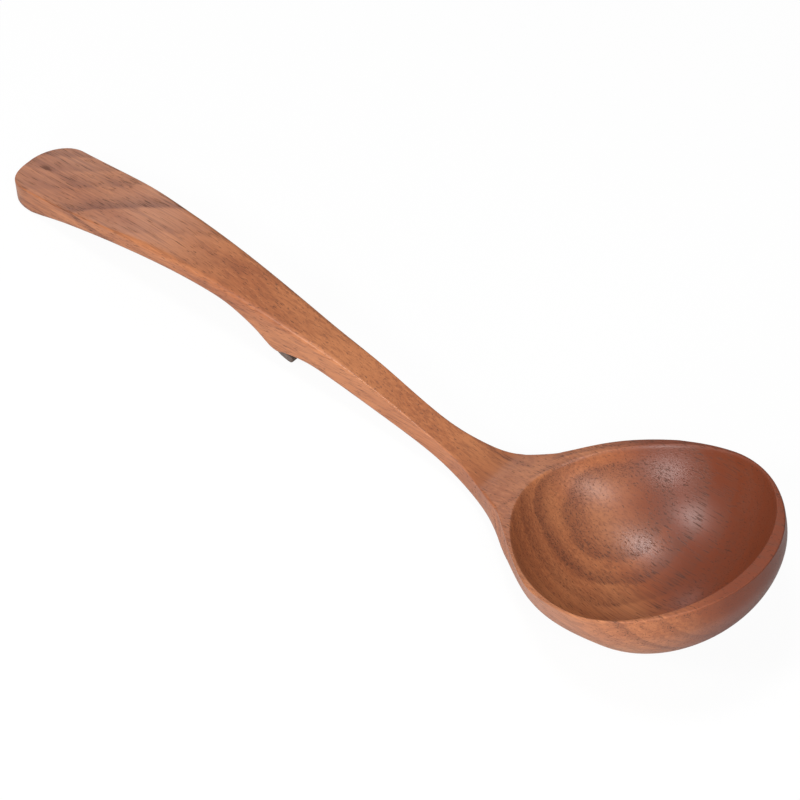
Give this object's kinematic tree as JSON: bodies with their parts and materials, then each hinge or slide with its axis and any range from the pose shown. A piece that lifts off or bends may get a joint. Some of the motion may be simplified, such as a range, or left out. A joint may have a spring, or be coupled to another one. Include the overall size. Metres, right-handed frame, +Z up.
{
  "type": "wooden soup ladle",
  "caption": "Carved wooden soup ladle: deep egg-shaped bowl, flared neck, arched tapering handle, and a small hook under the handle to hang it on a pot's rim.",
  "frame": {"origin": "on the table under the middle of the whole length, in the ladle's middle plane", "axes": "+X along the length from the handle's end to the bowl's tip, +Z up with the ladle lying on a table, and the ladle is alike on both sides of the plane y = 0"},
  "size_m": [0.347, 0.0892, 0.0551],
  "materials": {
    "ladle_wood": "satin oiled",
    "hook_wood": "dark end grain, satin oiled"
  },
  "bodies": {
    "root": {"ladle_body": "ladle_wood", "pot_hook": "hook_wood"}
  },
  "joints": []
}
